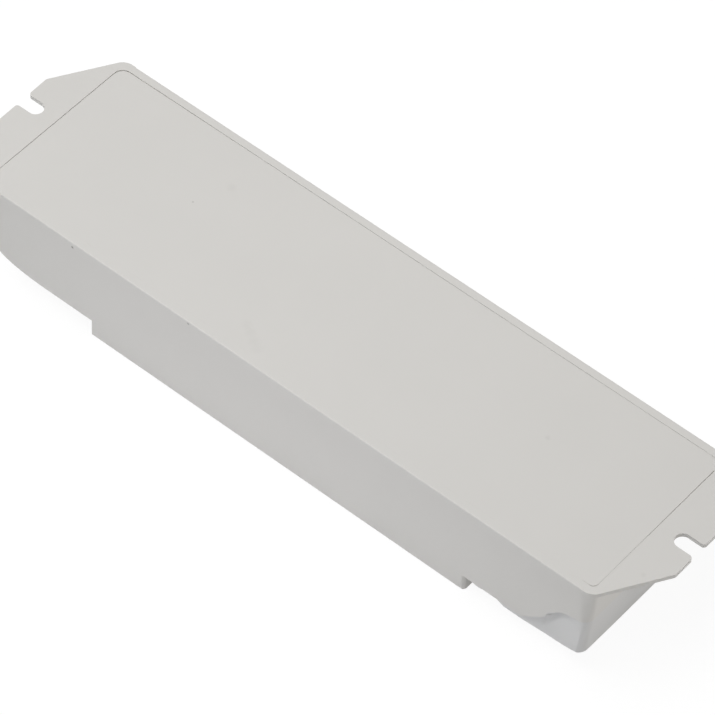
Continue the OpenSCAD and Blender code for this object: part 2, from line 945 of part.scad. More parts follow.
// Aluminium can with a vent cross and a rubber bung, standing off the board
module electrolytic(d, h) {
  translate([0, 0, board_z - h])
    difference() {
      rotate_extrude($fn = 64)
        polygon([
          [0, 0], [d / 2 - 0.5, 0], [d / 2, 0.5], [d / 2, h - 2.2], [d / 2 - 0.4, h - 1.8],
          [d / 2, h - 1.4], [d / 2, h - 0.2], [d / 2 - 0.3, h], [0, h]
        ]);
      for (a = [0, 90])
        rotate([0, 0, a])
          translate([-d / 4, -0.15, -1])
            cube([d / 2, 0.3, 1.2]);
    }
}

module input_capacitors() {
  color("slategray")
    for (s = [-1, 1])
      translate([supply_x, capacitor_y + s * (capacitor_d + capacitor_gap) / 2, 0])
        electrolytic(capacitor_d, capacitor_h);
}

module regulator_capacitor() {
  color("slategray")
    translate([buck_x, diode_y, 0])
      electrolytic(small_capacitor_d, small_capacitor_h);
}

module inductor() {
  color("darkgray")
    translate([buck_x, inductor_y, board_z - inductor_size.z])
      difference() {
        linear_extrude(inductor_size.z)
          round_rect(inductor_size, inductor_size.x / 5);
        translate([0, 0, -1])
          cylinder(d = inductor_size.x * 0.58, h = 1.6);
      }
}

module regulator() {
  color("black")
    translate([buck_x, regulator_y, 0])
      chip(regulator_size, 4, wide_pitch);
}

// One power transistor: body, heat tab and legs
module power_transistor() {
  l = transistor.x;
  w = transistor.y;
  h = transistor.z;
  translate([-l / 2, -w / 2, board_z - h])
    cube([l, w, h - 0.1]);
  translate([-l / 2 - 1.3, -w * 0.4, board_z - h * 0.26])
    cube([1.4, w * 0.8, h * 0.26]);
  for (y = [-1, 1] * w * 0.34)
    translate([l / 2 - 0.1, y - w * 0.05, board_z - h * 0.22])
      cube([2.6, w * 0.1, h * 0.22]);
}

// One place per output channel, in a row across the board
module at_channels(x) {
  for (i = [0:channels - 1])
    translate([x, (i - (channels - 1) / 2) * channel_pitch, 0])
      children();
}

module mosfets() {
  color("black")
    at_channels(mosfet_x)
      power_transistor();
}

module shunt_resistors() {
  color("dimgray")
    at_channels(shunt_x)
      rotate([0, 0, 90])
        two_ended(shunt);
}

module gate_resistors() {
  color("dimgray")
    at_channels(gate_x)
      rotate([0, 0, 90])
        two_ended(gate);
}

module driver_chip() {
  color("black")
    translate([driver_x, driver_y, 0])
      rotate([0, 0, 90])
        chip(driver_size, 7, fine_pitch);
}

module microcontroller() {
  color("black")
    translate([micro_x, logic_y, 0])
      chip(micro_size, 10, fine_pitch);
}

module crystal() {
  color("silver")
    translate([crystal_x, logic_y, board_z - crystal_size.z])
      linear_extrude(crystal_size.z)
        round_rect(crystal_size, crystal_size.y * 0.45);
}

module radio_module() {
  color("darkgreen")
    translate([0, radio_y, board_z - radio.z])
      linear_extrude(radio.z)
        round_rect(radio, 0.5);
}

module radio_shield() {
  color("silver")
    translate([(shield.x - radio.x) / 2 + 1, radio_y, board_z - radio.z - shield.z])
      linear_extrude(shield.z)
        round_rect(shield, 0.6);
}

module pairing_switch() {
  color("dimgray")
    translate([button_x, button_y, board_z - switch_h])
      difference() {
        linear_extrude(switch_h)
          round_rect([switch_w, switch_w], 0.4);
        translate([0, 0, -1])
          cylinder(d = plunger_d + 0.6, h = 1 + plunger_in + button_travel + 0.2);
      }
}

module switch_plunger() {
  color("saddlebrown")
    translate([button_x, button_y, board_z - switch_h - plunger_l])
      cylinder(d = plunger_d, h = plunger_l + plunger_in);
}

// Head, stop flange and long stem, turned about the button's own axis
module pairing_button() {
  top = board_z - switch_h - plunger_l;
  stop_z = wall + 0.1;
  color("whitesmoke")
    translate([button_x, button_y, 0])
      rotate_extrude()
        polygon([
          [0, button_in + 0.25], [button_d / 2 - 0.9, button_in + 0.1], [button_d / 2 - 0.3, button_in],
          [button_d / 2, button_in + 0.3], [button_d / 2, stop_z],
          [flange_d / 2, stop_z], [flange_d / 2, stop_z + flange_t],
          [button_d / 2 - 0.3, stop_z + flange_t], [button_d / 2 - 0.3, top], [0, top]
        ]);
}

module status_led() {
  color("white")
    translate([pipe_x, pipe_y, board_z - led.z]) {
      translate([-led.x / 2, -led.y / 2, led.z / 3])
        cube([led.x, led.y, led.z * 2 / 3]);
      cylinder(d = led.y * 0.8, h = led.z / 2);
    }
}

// Clear rod with a collar that rests on the housing's tube
module light_pipe() {
  r = pipe_d / 2;
  collar_z = wall + pipe_tube_h;
  top = board_z - led.z - 0.3;
  color("lightcyan")
    translate([pipe_x, pipe_y, 0])
      rotate_extrude()
        polygon([
          [0, 0.15], [r - 0.3, 0.15], [r, 0.45], [r, collar_z],
          [r + pipe_collar, collar_z], [r + pipe_collar, collar_z + 1], [r, collar_z + 1],
          [r, top], [0, top]
        ]);
}

housing();
back_panel();
output_cover();
input_cover();
cover_screws();
circuit_board();
board_screws();
input_terminal();
output_terminal();
terminal_cages();
terminal_screws();
protection_diode();
input_fuse();
input_capacitors();
inductor();
regulator();
regulator_capacitor();
mosfets();
shunt_resistors();
gate_resistors();
driver_chip();
microcontroller();
crystal();
radio_module();
radio_shield();
pairing_switch();
switch_plunger();
pairing_button();
status_led();
light_pipe();
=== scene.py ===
import math

import bmesh
import bpy
import numpy as np
from mathutils import Matrix, Vector


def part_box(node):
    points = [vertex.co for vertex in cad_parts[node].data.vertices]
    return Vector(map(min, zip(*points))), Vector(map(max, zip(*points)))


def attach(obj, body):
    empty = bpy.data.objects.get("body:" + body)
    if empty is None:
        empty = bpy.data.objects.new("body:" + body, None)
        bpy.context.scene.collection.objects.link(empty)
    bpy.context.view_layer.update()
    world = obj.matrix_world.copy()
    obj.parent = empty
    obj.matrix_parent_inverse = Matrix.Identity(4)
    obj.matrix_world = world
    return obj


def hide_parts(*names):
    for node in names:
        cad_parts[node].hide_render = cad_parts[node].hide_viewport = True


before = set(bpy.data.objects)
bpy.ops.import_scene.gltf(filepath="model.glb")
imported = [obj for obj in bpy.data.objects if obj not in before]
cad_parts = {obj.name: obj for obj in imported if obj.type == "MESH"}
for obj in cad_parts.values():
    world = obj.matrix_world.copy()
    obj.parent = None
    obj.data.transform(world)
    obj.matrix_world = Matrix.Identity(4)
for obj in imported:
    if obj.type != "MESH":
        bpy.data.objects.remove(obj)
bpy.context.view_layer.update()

# Camera: a long lens about 0.9 m from the part, looking down on its mounting side.
# Place, aim and roll come from fitting the part's edges to the photograph's outline.
camera_data = bpy.data.cameras.new("camera")
camera = bpy.data.objects.new("camera", camera_data)
bpy.context.scene.collection.objects.link(camera)
camera_right = Vector((0.76649, 0.64137, 0.03368))
camera_up = Vector((-0.5156, 0.58323, 0.62769))
camera_back = Vector((0.38294, -0.49848, 0.77774))
camera_place = Vector((0.357466, -0.461889, 0.734537))
camera_turn = Matrix((camera_right, camera_up, camera_back)).transposed().to_4x4()
camera.matrix_world = Matrix.Translation(camera_place) @ camera_turn
camera_data.sensor_width = 36
camera_data.lens = 243.13
camera_data.clip_start = 0.01
bpy.context.scene.camera = camera


# Housing: one long tray of pale grey ABS, injection moulded in a steel mould with a
# finely spark-eroded face. Its long sides, end walls, raised centre block and the two
# screw ears are one shot, with every outer edge just broken by the mould's small radius.
MM = 0.001
MICROMETRE = 0.001 * MM
FLAT_DEGREES, CREASE_DEGREES = 0.5, 35
EDGE_STEPS = 2


def merged(node, name):
    """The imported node's surface as a closed mesh: corners that lie within a micrometre
    of each other become one, and triangles that lie in one plane become one face."""
    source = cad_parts[node].data
    points = np.empty(len(source.vertices) * 3, np.float32)
    source.vertices.foreach_get("co", points)
    corners = np.empty(len(source.loops), np.int32)
    source.loops.foreach_get("vertex_index", corners)
    mesh = bpy.data.meshes.new(name)
    mesh.from_pydata(points.reshape(-1, 3), [], corners.reshape(-1, 3))
    work = bmesh.new()
    work.from_mesh(mesh)
    bmesh.ops.remove_doubles(work, verts=work.verts, dist=MICROMETRE)
    bmesh.ops.dissolve_limit(
        work,
        angle_limit=math.radians(FLAT_DEGREES),
        verts=work.verts,
        edges=work.edges,
    )
    work.to_mesh(mesh)
    work.free()
    piece = bpy.data.objects.new(name, mesh)
    bpy.context.scene.collection.objects.link(piece)
    return piece


def break_edges(piece, radius, share=None):
    """Rounds every edge steeper than the crease angle to the mould's small radius, times
    the share that a function of the edges' middles in mm gives, and shades smooth."""
    work = bmesh.new()
    work.from_mesh(piece.data)
    turn = np.array([edge.calc_face_angle(0) for edge in work.edges])
    middle = np.array([(edge.verts[0].co + edge.verts[1].co) / 2 for edge in work.edges])
    work.free()
    weight = (turn > math.radians(CREASE_DEGREES)).astype(np.float32)
    if share is not None:
        weight *= share(middle / MM)
    layer = piece.data.attributes.new("bevel_weight_edge", "FLOAT", "EDGE")
    layer.data.foreach_set("value", weight)
    piece.data.shade_smooth()
    bevel = piece.modifiers.new("broken_edges", "BEVEL")
    bevel.width = radius
    bevel.segments = EDGE_STEPS
    bevel.limit_method = "WEIGHT"
    bevel.harden_normals = True
    bevel.use_clamp_overlap = True
    return piece


def stand_in(piece, node, material, body="controller"):
    """The piece wears the material, rides on the body and is shown for its CAD node."""
    piece.data.materials.append(material)
    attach(piece, body)
    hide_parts(node)


def linear(sheet_colour):
    """Linear colour of an sRGB hex value: each channel c over 255 becomes c / 12.92
    where it is darkest, and ((c + 0.055) / 1.055) to the power 2.4 elsewhere."""
    c = np.array([int(sheet_colour[i : i + 2], 16) for i in (1, 3, 5)]) / 255
    c = np.where(c < 0.04045, c / 12.92, ((c + 0.055) / 1.055) ** 2.4)
    return (*c, 1)


def add_node(tree, kind, settings=None, links=None):
    """Adds one node, sets its own properties or its sockets, and links its inputs."""
    node = tree.nodes.new("ShaderNode" + kind)
    for key, value in (settings or {}).items():
        if isinstance(key, str) and hasattr(node, key):
            setattr(node, key, value)
        else:
            node.inputs[key].default_value = value
    for key, output in (links or {}).items():
        tree.links.new(output, node.inputs[key])
    return node


def new_material(name, settings):
    """A material with one principled shader, its constant values on its own sockets."""
    material = bpy.data.materials.new(name)
    material.use_nodes = True
    tree = material.node_tree
    shader = tree.nodes["Principled BSDF"]
    for key, value in settings.items():
        shader.inputs[key].default_value = value
    return material, tree, shader


# What the eye sees on moulded ABS: the tone drifts, the gloss changes in patches, the face
# waves a little, and scuffs and rare specks of dust lie on it. One dark dot on the housing is
# painted shade at a seam. Lengths are in mm. The eroded grain is under 0.1 mm on a real
# mould, and is drawn coarser so that it shows.
TONE_DRIFT, GLOSS_PATCH, WAVE_LENGTH, WAVE_DEPTH = 22, 5, 14, 0.05
PIT_DEPTH, SCUFF_GRAIN = 0.012, 0.6
DUST_CELL, DUST_STRENGTH, CELLS_WITHOUT_DUST = 7, 0.3, 0.9
# The darker grey is for the handling marks, and for the housing's one dot of painted shade at
# a seam.
DUST_GREY, SMUDGE_AND_SHADE_GREY = "#8B8780", "#6E6A64"


def moulded_abs(name, pale, deep, grain=0.28, marks=()):
    """ABS moulded against a spark-eroded face: a satin grain of that many mm, a broad
    waviness from uneven cooling, a slight drift of tone between two shades, and small
    dark marks, each given as its x, y, z and reach in mm and its strength. Most are
    handling marks; the housing's dot at a seam is painted shade."""
    material, tree, shader = new_material(name, {"IOR": 1.54, "Roughness": 0.5})
    place = add_node(tree, "TexCoord").outputs["Object"]
    drift = add_node(
        tree,
        "TexNoise",
        {"Scale": 1 / (TONE_DRIFT * MM), "Detail": 3, "Roughness": 0.6},
        {"Vector": place},
    )
    tone = add_node(
        tree,
        "Mix",
        {"data_type": "RGBA", 6: linear(pale), 7: linear(deep)},
        {0: drift.outputs["Fac"]},
    ).outputs[2]
    scuff = add_node(
        tree,
        "TexNoise",
        {"Scale": 1 / (SCUFF_GRAIN * MM), "Detail": 3, "Roughness": 0.7},
        {"Vector": place},
    )
    dust_cells = add_node(
        tree,
        "TexVoronoi",
        {"Scale": 1 / (DUST_CELL * MM), "Randomness": 1},
        {"Vector": place},
    )
    dust_size = add_node(
        tree,
        "MapRange",
        {"From Min": 0.02, "From Max": 0.035, "To Min": 1, "To Max": 0},
        {"Value": dust_cells.outputs["Distance"]},
    )
    cell_draw = add_node(
        tree, "SeparateColor", {}, {"Color": dust_cells.outputs["Color"]}
    )
    few_cells = add_node(
        tree,
        "Math",
        {"operation": "GREATER_THAN", 1: CELLS_WITHOUT_DUST},
        {0: cell_draw.outputs["Red"]},
    )
    dust = add_node(
        tree,
        "Math",
        {"operation": "MULTIPLY"},
        {0: dust_size.outputs["Result"], 1: few_cells.outputs[0]},
    )
    dusted = add_node(
        tree,
        "Math",
        {"operation": "MULTIPLY", 1: DUST_STRENGTH},
        {0: dust.outputs[0]},
    )
    tone = add_node(
        tree,
        "Mix",
        {"data_type": "RGBA", 7: linear(DUST_GREY)},
        {0: dusted.outputs[0], 6: tone},
    ).outputs[2]
    for x, y, z, reach, strength in marks:
        spread = add_node(
            tree,
            "VectorMath",
            {"operation": "DISTANCE", 1: (x * MM, y * MM, z * MM)},
            {0: place},
        )
        ragged = add_node(
            tree,
            "Math",
            {"operation": "MULTIPLY_ADD", 1: 0.9 * reach * MM},
            {0: scuff.outputs["Fac"], 2: spread.outputs["Value"]},
        )
        # Each mark darkens towards its middle. The housing's seam dot is painted shade; the
        # others are handling marks.
        smudge_and_shade = add_node(
            tree,
            "MapRange",
            {
                "interpolation_type": "SMOOTHSTEP",
                "From Min": 0.55 * reach * MM,
                "From Max": 1.35 * reach * MM,
                "To Min": strength,
                "To Max": 0,
            },
            {"Value": ragged.outputs[0]},
        )
        tone = add_node(
            tree,
            "Mix",
            {"data_type": "RGBA", 7: linear(SMUDGE_AND_SHADE_GREY)},
            {0: smudge_and_shade.outputs["Result"], 6: tone},
        ).outputs[2]
    tree.links.new(tone, shader.inputs["Base Color"])
    sheen = add_node(
        tree,
        "TexNoise",
        {"Scale": 1 / (GLOSS_PATCH * MM), "Detail": 4, "Roughness": 0.65},
        {"Vector": place},
    )
    gloss = add_node(
        tree,
        "MapRange",
        {"To Min": 0.44, "To Max": 0.56},
        {"Value": sheen.outputs["Fac"]},
    )
    tree.links.new(gloss.outputs["Result"], shader.inputs["Roughness"])
    pits = add_node(
        tree,
        "TexNoise",
        {"Scale": 1 / (grain * MM), "Detail": 2},
        {"Vector": place},
    )
    waves = add_node(
        tree,
        "TexNoise",
        {"Scale": 1 / (WAVE_LENGTH * MM), "Detail": 1},
        {"Vector": place},
    )
    wave_bump = add_node(
        tree,
        "Bump",
        {"Strength": 0.6, "Distance": WAVE_DEPTH * MM},
        {"Height": waves.outputs["Fac"]},
    )
    pit_bump = add_node(
        tree,
        "Bump",
        {"Strength": 0.5, "Distance": PIT_DEPTH * MM},
        {"Height": pits.outputs["Fac"], "Normal": wave_bump.outputs["Normal"]},
    )
    tree.links.new(pit_bump.outputs["Normal"], shader.inputs["Normal"])
    return material


# The moulding's faces, in mm from the middle of the part and from the ground.
END_WALL, LONG_SIDE, MOUNTING_SIDE = 74.8, 21.15, 24.0
EAR_UNDERSIDE, WALL_CORNER = 23.0, 2.0
# The draft: its value at the foot, what it gains up to the ears, where it starts and over
# what height, where it fades out inside the wall, and how near the long side.
END_FOOT, END_LEAN, LEAN_START, LEAN_HEIGHT = -0.15, 1.4, 3, 20
INSIDE_X, INSIDE_FADE, SIDE_FADE = 70.5, 2.5, 0.8
# The ear's root corner, and the trim of the input ear's tip from the near to the far side.
EAR_ROOT, ROOT_REACH, ROOT_GROWTH = (75.4, 21.15), 0.95, 2.0
TIP_START, TIP_FADE, TIP_Y, TIP_TRIM = 82, 1.5, (-7, 7), (0.38, 0.12)
# How far a point may lie from the wall's outline, or from a level, and still be on it.
NEAR_OUTLINE, NEAR_LEVEL = 0.03, 0.05


def lean_ends(piece):
    """The end walls' draft: x grows outwards by the foot's value plus the lean times the
    share of the height up to the ears. The shift fades out inside the wall and, just
    under the ear, towards the long side. The ear's corners there are scaled about their
    points, and the tip of the input end's ear is trimmed, more so on the camera's side."""
    mesh = piece.data
    place = np.empty(len(mesh.vertices) * 3, np.float32)
    mesh.vertices.foreach_get("co", place)
    place = place.reshape(-1, 3) / MM
    x, y, z = np.abs(place[:, 0]), np.abs(place[:, 1]), place[:, 2]
    from_bend = np.hypot(
        np.maximum(x - END_WALL + WALL_CORNER, 0),
        np.maximum(y - LONG_SIDE + WALL_CORNER, 0),
    )
    on_outline = np.abs(from_bend - WALL_CORNER) < NEAR_OUTLINE
    level = np.abs(z - EAR_UNDERSIDE) < NEAR_LEVEL
    wall = (z < EAR_UNDERSIDE - NEAR_LEVEL) | (level & on_outline)
    in_wall = np.clip((x - INSIDE_X) / INSIDE_FADE, 0, 1)
    rise = np.clip((z - LEAN_START) / LEAN_HEIGHT, 0, 1)
    off_side = np.where(level, np.clip((LONG_SIDE - y) / SIDE_FADE, 0, 1), 1)
    shift = np.where(wall, (END_FOOT + END_LEAN * rise) * in_wall * off_side, 0)
    apex_x, apex_y = x - EAR_ROOT[0], y - EAR_ROOT[1]
    corner = (z > EAR_UNDERSIDE - NEAR_LEVEL) & (np.hypot(apex_x, apex_y) < ROOT_REACH)
    new_x = np.where(corner, EAR_ROOT[0] + ROOT_GROWTH * apex_x, x + shift)
    new_y = np.where(corner, EAR_ROOT[1] + ROOT_GROWTH * apex_y, y)
    near_tip = np.clip((-place[:, 0] - TIP_START) / TIP_FADE, 0, 1)
    trim = np.interp(place[:, 1], TIP_Y, TIP_TRIM) * near_tip
    place[:, 0] = np.sign(place[:, 0]) * new_x + trim
    place[:, 1] = np.sign(place[:, 1]) * new_y
    mesh.vertices.foreach_set("co", (place * MM).ravel())
    mesh.update()
    return piece


# The arc of the panel's one tight corner: its centre, its radius, how far off the radius
# and past the centre a point may lie and still be on it, and the share it shrinks to.
TIGHT_CENTRE, TIGHT_RADIUS, TIGHT_SHARE = (72.8, -17.1), 2.25, 0.6
ARC_SLACK, CENTRE_SLACK = 0.4, 0.2


def tighten_corner(outline):
    """The corner of the panel's outline nearest the output skirt bends tighter than the
    others: the points of its arc are scaled about the sharp corner they would meet in."""
    from_centre = outline - TIGHT_CENTRE
    off_radius = np.hypot(from_centre[:, 0], from_centre[:, 1]) - TIGHT_RADIUS
    arc = (
        (from_centre[:, 0] > -CENTRE_SLACK)
        & (from_centre[:, 1] < CENTRE_SLACK)
        & (np.abs(off_radius) < ARC_SLACK)
    )
    point = np.array([outline[arc, 0].max(), outline[arc, 1].min()])
    outline[arc] = point + TIGHT_SHARE * (outline[arc] - point)
    return outline


def tighten_piece(piece):
    """The same corner on a moulding, for its vertices above the ears' underside."""
    place = np.empty(len(piece.data.vertices) * 3, np.float32)
    piece.data.vertices.foreach_get("co", place)
    place = place.reshape(-1, 3) / MM
    upper = place[:, 2] > EAR_UNDERSIDE + NEAR_LEVEL
    place[upper, :2] = tighten_corner(place[upper, :2])
    piece.data.vertices.foreach_set("co", (place * MM).ravel())
    piece.data.update()
    return piece


# Where the recess for the panel and the seam of the covers' skirts lie, in mm.
RECESS_X, RECESS_Y, RECESS_FLOOR = 75.3, 19.6, 22.9
SKIRT_SEAM_X, SKIRT_SEAM_FOOT, SKIRT_SEAM_TOP = 62, 4.6, 15


def housing_edge_share(middle):
    """The panel's recess keeps nearly sharp edges, and the walls' front edges are the
    roundest."""
    x, y, z = np.abs(middle[:, 0]), np.abs(middle[:, 1]), middle[:, 2]
    recess = (x < RECESS_X) & (y < RECESS_Y) & (z > RECESS_FLOOR)
    seam = (x > SKIRT_SEAM_X) & (z > SKIRT_SEAM_FOOT) & (z < SKIRT_SEAM_TOP)
    front = z < SKIRT_SEAM_FOOT
    return np.select([recess, seam, front], [0.1, 0.2, 1.0], 0.5)


HOUSING_EDGE = 0.3 * MM
# Marks on the housing. The first three are handling marks. The last is painted shade: a dark
# dot where the output skirt's seam meets the corner.
housing_marks_and_seam_shade = (
    (-51.7, -21.15, 22.7, 0.5, 0.9),
    (-22.1, -21.15, 23.4, 0.4, 0.6),
    (79.7, -11.0, 24.0, 0.9, 0.07),
    # Painted shade at the end of the output skirt's seam.
    (73.0, -21.0, 14.9, 0.25, 0.7),
)
housing_abs = moulded_abs(
    "moulded_grey_white_abs", "#D5D3CF", "#D1CFCB", marks=housing_marks_and_seam_shade
)
housing = tighten_piece(lean_ends(merged("housing", "housing_moulding")))
break_edges(housing, HOUSING_EDGE, share=housing_edge_share)
stand_in(housing, "housing", housing_abs)

# Back panel: the flat cover of the mounting side, its own ABS moulding, snapped into the
# housing's rim. It is a hair smaller than its recess and sits a little towards the input
# end, so its seam is a hairline that is widest at the output end.
PANEL_EDGE = 0.08 * MM
PANEL_SHIFT, PANEL_FIT = -0.05 * MM, (0.9987, 0.998, 1, 1)
panel_marks = (
    (-41.2, 2.1, 24.0, 0.35, 0.35),
    (-38.0, 9.9, 24.0, 1.6, 0.05),
    (-13.4, -14.3, 24.0, 1.9, 0.04),
    (-11.6, -15.2, 24.0, 1.9, 0.04),
    (-9.6, -16.4, 24.0, 1.9, 0.04),
    (-7.9, -17.5, 24.0, 1.8, 0.03),
    (46.7, 2.3, 24.0, 0.9, 0.07),
)
panel_abs = moulded_abs("moulded_panel_abs", "#D5D3CF", "#D1CFCB", marks=panel_marks)
panel = tighten_piece(merged("back_panel", "back_panel_moulding"))
break_edges(panel, PANEL_EDGE)
panel.data.transform(Matrix.Translation((PANEL_SHIFT, 0, 0)) @ Matrix.Diagonal(PANEL_FIT))
stand_in(panel, "back_panel", panel_abs)

# Panel edge: the step that the panel's ABS moulding has all round, just under the
# mounting side, which closes the seam below. It lies flush on the camera's side and
# sinks towards the far corners.
PANEL_HALF, PANEL_CORNER, RING_SPACING = (74.975, 19.29), 2.2, 0.25
STEP_HALF_WIDTH, STEP_FOOT, STEP_SHIFT = 0.25, 23.3, -0.04
NEAR_SIDE_Y, FAR_SIDE_Y = -16.9, 17.5
STEP_SMOOTHING = 13


def rounded_ring(half_x, half_y, radius, spacing):
    """Points and outward normals of a rectangle with round corners, anticlockwise. The
    normal's angle stays still along a side and grows evenly round a corner, and the
    point is the corner's centre plus the radius times the normal."""
    side_x, side_y, bend = 2 * (half_x - radius), 2 * (half_y - radius), math.pi / 2 * radius
    ends = np.cumsum([0, bend, side_y, bend, side_x, bend, side_y, bend, side_x])
    along = np.arange(0, ends[-1], spacing)
    quarters = np.array([0, 1, 1, 2, 2, 3, 3, 4, 4]) * math.pi / 2 - math.pi / 2
    angle = np.interp(along, ends, quarters)
    x_at = np.interp(along, ends, np.array([1, 1, 1, 1, -1, -1, -1, -1, 1]) * side_x / 2)
    y_at = np.interp(along, ends, np.array([-1, -1, 1, 1, 1, 1, -1, -1, -1]) * side_y / 2)
    out = np.stack([np.cos(angle), np.sin(angle)], axis=1)
    return np.stack([x_at, y_at], axis=1) + radius * out, out


ring, ring_out = rounded_ring(*PANEL_HALF, PANEL_CORNER, RING_SPACING)
ring = tighten_corner(ring)
ring_x, ring_y = ring.T
# The step's depth in mm along each side. On the camera's side it is a hundredth, with a
# soft dip round the corner nearest the output skirt.
FLUSH, DIP, DIP_PLACE = 0.01, 0.16, (74.4, -18.9)
from_dip = np.hypot(ring_x - DIP_PLACE[0], ring_y - DIP_PLACE[1])
depth_near = FLUSH + DIP * np.exp(-(from_dip**2))
depth_right = np.interp(ring_y, [-17, -8, 4, 11, 16], [0.03, 0.07, 0.12, 0.14, 0.17])
depth_far = np.interp(ring_x, [-70, -40, 40, 74], [0.22, 0.14, 0.12, 0.1])
depth_left = np.interp(ring_y, [-18, -14, 18], [0.05, 0.14, 0.14])
step_depth = np.select(
    [ring_y < NEAR_SIDE_Y, ring_y > FAR_SIDE_Y, ring_x > 0],
    [depth_near, depth_far, depth_right],
    depth_left,
)
smoothing = np.hanning(STEP_SMOOTHING) / np.hanning(STEP_SMOOTHING).sum()
wrapped_depth = np.pad(step_depth, STEP_SMOOTHING // 2, mode="wrap")
step_depth = np.convolve(wrapped_depth, smoothing, mode="valid")
inner = ring - STEP_HALF_WIDTH * ring_out
outer = ring + STEP_HALF_WIDTH * ring_out
top_z = MOUNTING_SIDE - step_depth
foot_z = np.full(len(ring), STEP_FOOT)
step_rings = np.stack(
    [
        np.column_stack([inner, foot_z]),
        np.column_stack([inner, top_z]),
        np.column_stack([outer, top_z]),
        np.column_stack([outer, foot_z]),
    ]
)
step_rings[:, :, 1] += STEP_SHIFT


def strip(name, rows, material, closed):
    """A strip whose long edges are the rows of points, side by side: each point joins the
    next one in its row and the same one in the next row, and the last row joins the
    first. A closed strip also joins its ends, and an open one has a flat face at each."""
    row_count, count = rows.shape[:2]
    row, at = np.meshgrid(
        np.arange(row_count), np.arange(count if closed else count - 1), indexing="ij"
    )
    next_row, after = (row + 1) % row_count, (at + 1) % count
    corners = [
        row * count + at,
        row * count + after,
        next_row * count + after,
        next_row * count + at,
    ]
    faces = np.stack(corners, axis=2).reshape(-1, len(corners)).tolist()
    if not closed:
        first = np.arange(row_count) * count
        faces += [first.tolist(), (first[::-1] + count - 1).tolist()]
    mesh = bpy.data.meshes.new(name)
    mesh.from_pydata(rows.reshape(-1, 3) * MM, [], faces)
    mesh.materials.append(material)
    piece = bpy.data.objects.new(name, mesh)
    bpy.context.scene.collection.objects.link(piece)
    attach(piece, "controller")


strip("panel_edge_step", step_rings, panel_abs, closed=True)

# Terminal covers: two equal ABS mouldings, screwed over the wiring ends. Each has a side
# skirt, whose upper edge is cut in a soft step over a shallow finger hollow.
COVER_EDGE = 0.15 * MM
# The skirt's seam in the camera's long side at the output end, as x and z in mm.
SEAM = np.array(
    [
        (60.6, 4.3),
        (65.1, 8.4),
        (65.7, 8.6),
        (66.2, 10.1),
        (66.9, 10.8),
        (69.0, 13.4),
        (70.6, 14.1),
        (74.8, 14.8),
    ]
)
# The hollow: the share of its depth that it starts with, and how far under the seam. It is
# high and wide at the first of two places along it, and lower at the second.
HOLLOW_START, UNDER_SEAM = 0.3, 0.1
HOLLOW_ALONG, HOLLOW_RISE, HOLLOW_FALL = (67.5, 70.5), (1.1, 0.55), (2.6, 1.6)
# The skirt's upper edge lies past this x, y and z. Its outer face lies past the same x and
# its own y, and one part of it gets a fine grid.
SKIRT_X, SKIRT_EDGE_Y, SKIRT_EDGE_Z, SKIRT_FACE_Y = 60, 19, 5.5, -20.0
GRID_X, GRID_Z, GRID_STEP = (65.2, 72.9), (8.0, 14.9), 0.3


def cover_edge_share(middle):
    """The skirt's upper edge stays nearly sharp, so its seam reads as a fine line."""
    x, y, z = np.abs(middle[:, 0]), np.abs(middle[:, 1]), middle[:, 2]
    upper_edge = (x > SKIRT_X) & (y > SKIRT_EDGE_Y) & (z > SKIRT_EDGE_Z)
    return np.where(upper_edge, 0.3, 1.0)


def skirt_hollow(x):
    """Depth in mm of the finger hollow under the seam, deepest beside the steep part."""
    along = [64.8, 66.0, 67.0, 68.2, 69.8, 71.2, 72.6]
    return np.interp(x, along, [0, 0.35, 0.78, 0.66, 0.45, 0.28, 0])


def skirt_recess(x, z):
    """Depth of the hollow at a place: it starts at a share of the depth under the seam,
    rises as a quarter sine to the whole depth, and falls as a cosine to nothing. Both
    parts grow lower towards the end wall. The seam's line is averaged over 2 mm where
    that lowers it."""
    seam_z = np.interp(x, SEAM[:, 0], SEAM[:, 1])
    nearby = np.linspace(-1, 1, 9)[:, None]
    average = np.interp(x + nearby, SEAM[:, 0], SEAM[:, 1]).mean(axis=0)
    under = np.clip(np.minimum(seam_z, average) - UNDER_SEAM - z, 0, None)
    rise = np.interp(x, HOLLOW_ALONG, HOLLOW_RISE)
    fall = np.interp(x, HOLLOW_ALONG, HOLLOW_FALL)
    upper = HOLLOW_START + (1 - HOLLOW_START) * np.sin(math.pi / 2 * under / rise)
    lower = (1 + np.cos(math.pi * np.clip((under - rise) / fall, 0, 1))) / 2
    return skirt_hollow(x) * np.where(under < rise, upper, lower)


def sink_skirt(piece, side):
    """Cuts the skirt's outer face into a fine grid and moves it in by its recess. The
    side is 1 at the output end and -1 at the input end, which is turned half a turn."""
    work = bmesh.new()
    work.from_mesh(piece.data)

    def skirt_faces():
        return [
            face
            for face in work.faces
            if side * face.normal.y < -0.5
            and side * face.calc_center_median().y < SKIRT_FACE_Y * MM
            and side * face.calc_center_median().x > SKIRT_X * MM
        ]

    cuts = [((x, 0, 0), (1, 0, 0)) for x in np.arange(*GRID_X, GRID_STEP)]
    cuts += [((0, 0, z), (0, 0, 1)) for z in np.arange(*GRID_Z, GRID_STEP)]
    for spot, direction in cuts:
        faces = skirt_faces()
        parts = set(faces)
        for face in faces:
            parts.update(face.edges)
            parts.update(face.verts)
        bmesh.ops.bisect_plane(
            work,
            geom=list(parts),
            plane_co=Vector((side * spot[0] * MM, 0, spot[2] * MM)),
            plane_no=Vector(direction),
            dist=MICROMETRE,
        )
    corners = list({corner for face in skirt_faces() for corner in face.verts})
    place = np.array([corner.co for corner in corners]) / MM
    move = side * skirt_recess(side * place[:, 0], place[:, 2]) * MM
    for corner, step in zip(corners, move):
        corner.co.y += step
    work.to_mesh(piece.data)
    work.free()
    return piece


